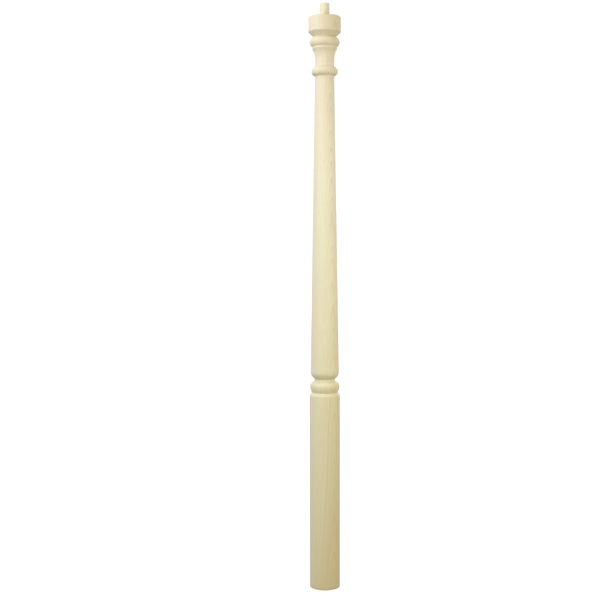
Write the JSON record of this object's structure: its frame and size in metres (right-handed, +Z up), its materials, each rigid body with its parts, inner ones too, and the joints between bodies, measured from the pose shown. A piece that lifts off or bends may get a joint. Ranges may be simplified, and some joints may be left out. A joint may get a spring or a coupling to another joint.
{
  "type": "newel post",
  "caption": "Turned wooden newel post with a long tapered shaft, beads, a flat round cap and a pin on top for the handrail fitting.",
  "frame": {"origin": "centre of the foot's underside", "axes": "+Z up along the post's turning axis; the post is round, so +X and +Y are any two level directions at right angles"},
  "size_m": [0.0806, 0.0806, 1.46],
  "materials": {
    "pine": "planed and sanded, unfinished"
  },
  "bodies": {
    "root": {"newel_post": "pine"}
  },
  "joints": []
}
